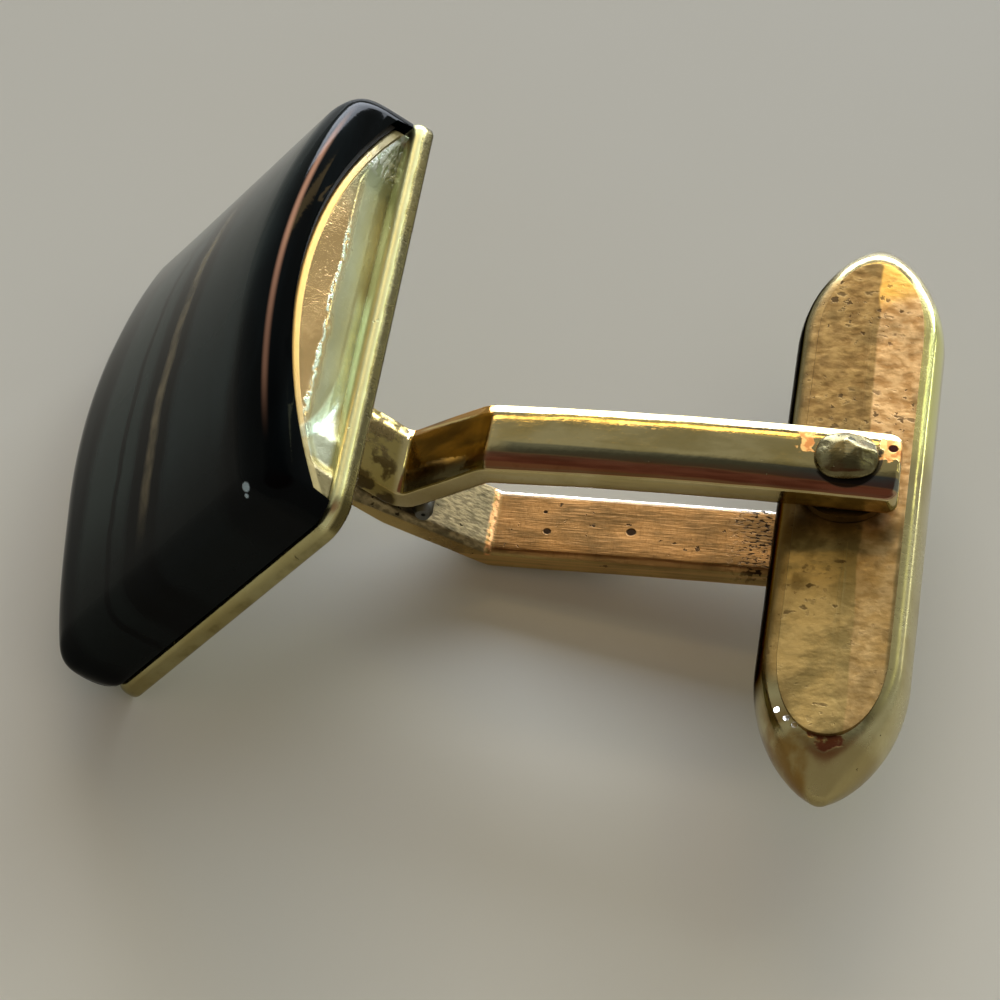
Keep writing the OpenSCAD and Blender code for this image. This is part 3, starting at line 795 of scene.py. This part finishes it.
def make_seat():
    """arched sheet with a rolled rim over a hollowed crescent wall on each side"""
    base, roll, blunted, inner_line, slices, levels = PLATE[2], 0.14, 0.1, 2.6, 120, 32
    rings = []
    for k in range(slices + 1):
        y = -SEAT_REACH * cos(pi * k / slices)
        blunt = fall_off(SEAT_REACH - abs(y), blunted)
        rise = arched(y, ARCH_RADIUS, ARCH_CROWN) - base - blunt
        side = SEAT_HALF - blunt
        low = sqrt((ARCH_RADIUS - RIM) ** 2 - y * y) + ARCH_CROWN - ARCH_RADIUS - base
        low = max(low, 0.04)
        half = [(0.0, base + rise), (inner_line, base + rise)]
        for a in quarter(6):
            half.append((side - roll + roll * sin(a), base + rise - roll + roll * cos(a)))
        half.append((side, base + max(low * 0.7 + rise * 0.3 - 0.05, low + 0.01)))
        for i in range(levels + 1):
            z = base + low * (1 - i / levels)
            sink, flush = hollow(y, z, low)
            half.append((WALL + (side - WALL) * flush - sink, z))
        half += [(inner_line, base), (0.0, base)]
        rings.append([(x, y, z) for x, z in half] + [(-x, y, z) for x, z in reversed(half[1:-1])])
    finish(solid("arched_seat", *skin(rings), HEAD, 50), SEAT, "seat_pan")


def make_plate():
    """flat plate with a small back edge and a broad soft front bevel"""
    half_x, half_y, thick = PLATE
    back, front = 0.12, 0.36
    levels = [(back * 3, 0.0), (back, 0.0)]
    levels += [(back - back * sin(a), back - back * cos(a)) for a in quarter(5)[1:]]
    for a in quarter(11):
        middle = sin(2 * a) ** 2
        turn = a * (1 - 0.35 * middle) + radians(16) * middle
        levels.append((front * (1 - cos(turn)) * (0.9 - 0.1 * cos(2 * a)),
                       thick - front + front * sin(turn)))
    levels.append((front * 1.2, thick))
    rings = [[] for _ in levels]
    for x, y, nx, ny in outline(half_x, half_y, (0.45, 0.45, 0.55, 0.9)):
        # a nick in the corner by the far end
        nick = 0.1 * exp(-(((x - 4.75) / 0.22) ** 2 + ((y - half_y) / 0.4) ** 2))
        for ring, (inset, z) in zip(rings, levels):
            ring.append((x - nx * inset, y - ny * (inset + nick), z))
    finish(solid("back_plate_soft", *skin(rings), HEAD, 40),
                 PLATE_GOLD, "back_plate")


def arm_section(near_fall=0.2, far_fall=0.11, edge=0.1, inner=0.2, turn=0.86):
    """(across, out) round a bar whose outer face falls away to both edges"""
    half = ARM_THICK / 2
    flat = ARM_HALF - edge

    def fall(v):
        """how far the outer face has fallen, so far across"""
        near = max(0.0, (-v - 0.25) / (flat - 0.25))
        far = max(0.0, v / flat)
        bent = min(far, turn)
        return near_fall * near ** 2 + far_fall * (bent ** 5 + 5 * turn ** 4 * (far - bent))

    def corner(x, z, radius, first):
        """a rounded corner, from so many right angles on"""
        turns = [pi / 2 * first + a for a in quarter(6)]
        return [(x + radius * cos(a), z + radius * sin(a)) for a in turns]

    result = corner(flat, half - fall(flat) - edge, edge, 0)
    result += [(v, half - fall(v)) for v in (flat - 2 * flat * i / 30 for i in range(1, 30))]
    result += corner(-flat, half - fall(-flat) - edge, edge, 1)
    result += corner(inner - ARM_HALF, inner - half, inner, 2)
    result += [((ARM_HALF - inner) * (i / 4 - 1), -half) for i in range(1, 8)]
    return result + corner(ARM_HALF - inner, inner - half, inner, 3)


def arm_route(path):
    """stations (place, outward, distance from the free end) along a bent bar"""
    points = [Vector(p) for p in path]
    ways = [(after - before).normalized() for before, after in zip(points, points[1:])]
    route, travelled, here = [], 0.0, points[0]
    for i, way in enumerate(ways):
        last = i + 1 == len(ways)
        target, after = points[i + 1], way if last else ways[i + 1]
        cut = 0.0 if last else ARM_BEND * tan(way.angle(after) / 2)
        stop = target - way * cut
        run = (stop - here).length
        steps = max(2, round(run / 0.35))
        for k in range(steps + last):
            s = run * k / steps
            route.append((here + way * s, way, travelled + s))
        travelled += run
        for share in [] if last else [k / 6 for k in range(6)]:
            curve = stop * (1 - share) ** 2 + target * 2 * share * (1 - share)
            curve += (target + after * cut) * share ** 2
            route.append((curve, way.slerp(after, share), travelled + 2 * cut * share))
        travelled += 2 * cut
        here = target + after * cut
    return [(spot, Vector((way[1], -way[0])), gone) for spot, way, gone in route]


def make_arms():
    """the two bent bars of the post, each bowed out a little, with outer faces apart"""
    # the free end is rounded, so its stations lie close together
    round_end, soft_end, first = 0.4, 0.1, (0.0, 0.03, 0.08, 0.16, 0.26, 0.36, 0.46)
    for name, side, foot, reach, bow, material, slot, node in (
        ("arm_upper", 1, 0.45, -3.85, 0.14, ARM_GOLD, "gilt_arm", "upper_arm"),
        ("arm_lower", -1, -0.45, -3.97, 0.05, ARM_WORN, "worn_arm", "lower_arm"),
    ):
        path = [(ARM_END, side * ARM_MIDDLE), (-ARM_STRAIGHT, side * ARM_MIDDLE)]
        for z in (reach, 0):
            spot = ARMS.inverted() @ (HEAD @ Vector((foot, 0, z)))
            path.append((spot[0], spot[2]))
        stations = arm_route(path)
        spot, out, _ = stations[0]
        along = (stations[1][0] - spot).normalized()
        ends = [(spot + along * d, out, d) for d in first]
        rings = []
        for spot, out, gone in ends + [s for s in stations if s[2] > 0.5]:
            lift = bow * sin(pi * min(1.0, gone / (ARM_END + ARM_STRAIGHT)))
            narrow = 1 - fall_off(gone, round_end) / ARM_HALF
            thin = 1 - fall_off(gone, soft_end) / (ARM_THICK / 2)
            ring = []
            for across, depth in arm_section():
                place = spot + out * side * (depth * thin)
                ring.append((place[0], across * narrow, place[1] + lift))
            rings.append(ring)
        finish(solid(name, *skin(rings), ARMS, 50, 0.012), material, node)


# flats hammered on the rivet's heads: direction in degrees, slope, height at the middle
BLOWS = ((52, 0.5, 0.53), (118, 0.34, 0.49), (172, 0.36, 0.49), (232, 0.32, 0.47),
         (284, 0.26, 0.46), (338, 0.38, 0.5), (250, 0.05, 0.36))


def hammered(x, y, height, end):
    """height of a rivet head under the blows, with soft edges between them"""
    flats = [height]
    for degrees, slope, level in BLOWS:
        turn = radians(degrees)
        flats.append(level - slope * (x * cos(turn) + y * sin(turn)))
    low = min(flats)
    height = low - 0.012 * log(sum(exp((low - f) / 0.012) for f in flats))
    return height + 0.018 * uneven(x * 2.4, y * 2.4, end * 2.0)


def make_pin():
    """shank with a hammered pillow-shaped head at each end"""
    edge, dome, rows = 0.14, 0.26, 17
    profile = [(FLANGE * 0.97, 0.0), (FLANGE, 0.05), (FLANGE, edge * 0.6)]
    for i in range(1, rows):
        share = 1 - i / rows
        profile.append((FLANGE * share, edge + dome * (1 - share ** 5)))
    halves = []
    for end in (-1, 1):
        half = [[(SHANK * cos(a), SHANK * sin(a), end * ARM_OUTER) for a in circle(72)]]
        for radius, height in profile:
            ring = []
            for a in circle(72):
                x, y = cos(a), sin(a)
                # the outline is between round and square, and uneven
                square = (abs(x) ** 3 + abs(y) ** 3) ** (-1 / 3)
                lump = 0.05 * uneven(x * 1.3, y * 1.3, end * 4.0)
                r = radius * (0.93 * (0.5 + 0.5 * square) + lump)
                x, y = x * r, y * r
                h = hammered(x, y, height, end) if height > edge else height
                ring.append((x, y * 0.92 + 0.04, end * (ARM_OUTER + max(h, 0.0))))
            half.append(ring)
        halves.append(half)
    finish(solid("rivet", *skin(halves[0][::-1] + halves[1]), ARMS, 45),
                 PIN_METAL, "pivot_pin")


def make_solders():
    """bead in the fork with a pore in its near end, and a collar at the foot"""
    low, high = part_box("fork_solder")
    middle = ARMS.inverted() @ ((low + high) / 2 / MM)
    middle[1] = 0
    reach, thick, slices = 1.17, 0.275, 14
    rings = []
    for k in range(slices + 1):
        s = -1 + 2 * k / slices
        ring = []
        for a in circle(28):
            x, y, z = cos(a), reach * s, sin(a)
            lump = 1 + 0.05 * uneven(x * 2, y * 2, z * 2)
            radius = thick * min(1.0, (1 - abs(s)) * 9 + 0.72) * lump
            ring.append((middle[0] + radius * x, y, middle[2] + radius * z))
        rings.append(ring)
    pore = []
    for share, sink in ((0.2, 0.16), (0.26, 0.05), (0.32, 0.0)):
        ring = []
        for p in rings[0]:
            spot = middle + (Vector(p) - middle) * share
            ring.append((spot[0] + 0.03, sink - reach, spot[2] + 0.03))
        pore.append(ring)
    finish(solid("fork_bead", *skin(pore + rings), ARMS, 60),
                 SOLDER, "fork_solder")

    rings = []
    for radius, depth in ((2.1, 0.0), (2.02, 0.06), (1.85, 0.16), (1.7, 0.3),
                          (1.58, 0.42), (1.45, 0.45), (1.2, 0.4)):
        ring = []
        for a in circle(72):
            x, y = cos(a), sin(a)
            r = radius * (0.97 + 0.054 * uneven(x * 2.2, y * 2.2, depth * 3))
            ring.append((r * x, r * y, -depth))
        rings.append(ring)
    finish(solid("foot_collar", *skin(rings), HEAD, 60), SOLDER, "foot_solder")


def pointed(half_width, reach, inset=0.0, arc=14, gap=0.5):
    """(x, y) round a long plate with pointed-arch ends, the inset inside it"""
    spine = reach - 3.0
    steps = max(1, round(2 * spine / gap))
    half_width -= inset
    result = []
    for side in (1, -1):
        for i in range(arc * 2 + 1):
            a = pi * i / (2 * arc)
            x = copysign(max(0.0, 1 - abs(sin(a)) ** 2.3) ** 0.5, cos(a))
            y = spine + (reach - inset - spine) * sin(a)
            result.append((side * half_width * x, side * y))
        for k in range(1, steps):
            result.append((-side * half_width, side * (spine - 2 * spine * k / steps)))
    return result


def face_height(x):
    """height of the toggle's ridged face, with a soft ridge"""
    tilt = RIDGE_FALL / TOGGLE_RADIUS
    return RIDGE - tilt * sqrt(x * x + 0.01) + tilt * 0.1


def prism(half_width, reach, low, high):
    """a cutter with the outline of the cover"""
    ring = pointed(half_width, reach)
    rings = [[(x + TOGGLE_SHIFT, y, z) for x, y in ring] for z in (low, high)]
    return solid("cutter", *skin(rings), ARMS)


def bore(radius, low, high):
    """a round cutter along the pin"""
    turns = circle(64)
    rings = [[(radius * cos(a), radius * sin(a), z) for a in turns] for z in (low, high)]
    return solid("cutter", *skin(rings), ARMS)


def cut(thing, sharp, *cutters):
    """takes the cutters out of a mesh"""
    bpy.context.view_layer.objects.active = thing
    for cutter in cutters:
        modifier = thing.modifiers.new("cut", "BOOLEAN")
        modifier.object = cutter
        modifier.operation = "DIFFERENCE"
        modifier.solver = "EXACT"
    bpy.context.view_layer.update()
    done = thing.evaluated_get(bpy.context.evaluated_depsgraph_get())
    mesh = bpy.data.meshes.new_from_object(done)
    thing.modifiers.clear()
    old, thing.data = thing.data, mesh
    mesh.name = thing.name
    mesh.set_sharp_from_angle(angle=radians(sharp))
    bpy.data.meshes.remove(old)
    for cutter in cutters:
        used = cutter.data
        bpy.data.objects.remove(cutter)
        bpy.data.meshes.remove(used)


def shell_ring(y, radius):
    """round the toggle at one station: a circle cut off by two ridged faces"""
    tilt = atan2(RIDGE_FALL, TOGGLE_RADIUS)
    face = RIDGE * cos(tilt)
    # the edges of the faces are softer towards the points
    power = 18 - 9 * min(1.0, max(0.0, (abs(y) - 6.0) / 2.0))
    ring = []
    for a in circle(144):
        x, z = cos(a), sin(a)
        closeness = radius ** -power
        for sx in (-1, 1):
            for sz in (-1, 1):
                lean = sx * sin(tilt) * x + sz * cos(tilt) * z
                if lean > 0.05:
                    closeness += (lean / face) ** power
        reach = closeness ** (-1 / power)
        ring.append((reach * x + TOGGLE_SHIFT, y, reach * z))
    return ring


def make_toggle():
    """bullet shell with flat ridged faces, and the worn cover let into it"""
    nose = (TOGGLE_NOSE ** 2 + TOGGLE_RADIUS ** 2) / (2 * TOGGLE_RADIUS)
    flank = TOGGLE_HALF - TOGGLE_NOSE
    stations = [(flank * i / 12, TOGGLE_RADIUS) for i in range(12)]
    for a in quarter(39):
        y = flank + TOGGLE_NOSE * sin(a) * 0.9999
        radius = sqrt(max(0.0, nose ** 2 - ((y - flank) * 0.965) ** 2)) - nose + TOGGLE_RADIUS
        if y > TOGGLE_HALF - TOGGLE_BLUNT * 0.45:
            past = max(0.0, y - TOGGLE_HALF + TOGGLE_BLUNT)
            radius = min(radius, sqrt(max(0.0, TOGGLE_BLUNT ** 2 - past ** 2)))
        stations.append((y, radius))
    stations = [(-y, r) for y, r in reversed(stations[1:])] + stations
    rings = [shell_ring(y, radius) for y, radius in stations]
    shell = solid("bullet_shell", *skin(rings), ARMS, 40)
    base, fit, ledge, wall = RIDGE - COVER_THICK, 0.001, 0.25, 0.4
    # the cover's bed, the hollow under it, and the holes of the pin and the lower washer
    cut(
        shell, 35,
        prism(COVER_HALF + fit, COVER_REACH + fit, base, 3.0),
        prism(COVER_HALF - ledge, COVER_REACH - ledge, wall - RIDGE, 2.0),
        bore(PIN_HOLE, -3.0, 3.0),
        bore(WASHER_HOLE, -3.0, -WASHER_FACE),
    )
    finish(shell, TOGGLE_GOLD, "toggle_shell", "toggle")

    edge = 0.012
    # (inset, lowered by, dented by) of each ring of the upper face
    rows = [(edge * (1 - cos(a)), edge * (1 - sin(a)), 0.0) for a in quarter(5)]
    rows += [(inset, 0.0, 0.012) for inset in (0.15, 0.3, 0.5, 0.7, 0.9, 1.1, 1.25, 1.37, 1.44)]
    rings = []
    for inset in (0.5, 0.01):
        ring = pointed(COVER_HALF, COVER_REACH, inset)
        rings.append([(x + TOGGLE_SHIFT, y, base) for x, y in ring])
    for inset, lower, dented in rows:
        ring = []
        for x, y in pointed(COVER_HALF, COVER_REACH, inset):
            dent = dented * (uneven(x * 0.9, y * 0.5, 4.0) - 0.4)
            ring.append((x + TOGGLE_SHIFT, y, face_height(x) - lower + dent))
        rings.append(ring)
    cover = solid("worn_cover", *skin(rings), ARMS, 40)
    cut(cover, 40, bore(PIN_HOLE, -3.0, 3.0), bore(WASHER_HOLE, WASHER_FACE, 3.0))
    finish(cover, TOGGLE_FACE, "toggle_cover", "toggle")


make_stone()
make_seat()
make_plate()
make_arms()
make_pin()
make_solders()
make_toggle()

# CAD nodes that keep their shape
for node, material in (("stone_cement", CEMENT), ("upper_washer", WASHER),
                       ("lower_washer", WASHER), ("toggle_bush", WASHER)):
    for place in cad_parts[node].material_slots:
        place.material = material


# -------------------------------------------------------- floor, light, camera


def make_floor():
    """matt off-white painted board, painted paler in front as painted light where the window's
    light falls off
    """
    mesh = bpy.data.meshes.new("table")
    side = 1.5
    corners = [(-side, -side, 0), (side, -side, 0), (side, side, 0), (-side, side, 0)]
    mesh.from_pydata(corners, [], [(0, 1, 2, 3)])
    material, shader = start("satin_paint", Specular_IOR_Level=0.4)
    spot = add("TexCoord", out="Object", tree=material.node_tree)
    cloud = add("TexNoise", {"Vector": spot, "Scale": 45.0, "Detail": 4.0})
    away = add("SeparateXYZ", (spot,), **APART)[1]
    colour = paint("#c1bfb3", ("#f6f4e7", (away, 0.03, -0.03)), ("#e1dfd3", cloud, 0.2))
    dress(shader, colour, meet((cloud, 0.2, 0.8, 0.38, 0.5)), cloud, 0.02)
    mesh.materials.append(material)
    show("table", mesh)


def light(name, place, size, power, tint):
    """an area light that faces the part"""
    lamp = bpy.data.lights.new(name, "AREA")
    lamp.shape = "RECTANGLE"
    lamp.size, lamp.size_y = size
    lamp.energy = power
    lamp.color = srgb(tint)[:3]
    thing = show(name, lamp)
    thing.location = place
    thing.rotation_euler = (-Vector(place)).to_track_quat("-Z", "Y").to_euler()


def make_light():
    """one window behind the part, three weak lamps and the room's own light"""
    light("window", (0.05, 0.6, 0.18), (0.7, 0.2), 5.0, "#eaf2ff")
    light("side_window", (0.57, 0.475, 0.125), (0.1, 0.045), 0.13, "#f4f8e4")
    light("green_window", (0.31, 0.45, 0.51), (0.1, 0.1), 0.1, "#f6fbc4")
    light("warm_lamp", (-0.10, 0.56, 0.46), (0.32, 0.06), 0.27, "#ffd890")
    world = bpy.data.worlds.new("room")
    bpy.context.scene.world = world
    world.use_nodes = True
    tree = world.node_tree
    way = add("SeparateXYZ", (add("TexCoord", out="Generated", tree=tree),), **APART)
    # pale walls behind, warmer in front, a dark ceiling with a brownish front
    ceiling = paint("#6b4a40", ("#60605a", (way[1], 0.0, 0.4)))
    tone = paint("#a29e95", ("#a3a49c", (way[1], -0.5, 0.5)), (ceiling, (way[2], 0.78, 0.92)))
    back = tree.nodes["Background"]
    tree.links.new(tone, back.inputs["Color"])
    back.inputs["Strength"].default_value = 1.0


def make_camera():
    """the photo's camera, as fitted to 50 of its points"""
    lens = bpy.data.cameras.new("camera")
    lens.sensor_width = 36
    lens.lens = 150.524
    lens.clip_start = 0.005
    camera = show("camera", lens)
    right = Vector((0.989268, 0.143718, 0.026361))
    up = Vector((-0.126522, 0.752314, 0.646542))
    back = Vector((0.073088, -0.642938, 0.762423))
    turn = Matrix((right, up, back)).transposed().to_4x4()
    camera.matrix_world = Matrix.Translation((0.0085717, -0.0756465, 0.0914792)) @ turn
    bpy.context.scene.camera = camera


make_floor()
make_light()
make_camera()
bpy.context.scene.view_settings.view_transform = "Standard"
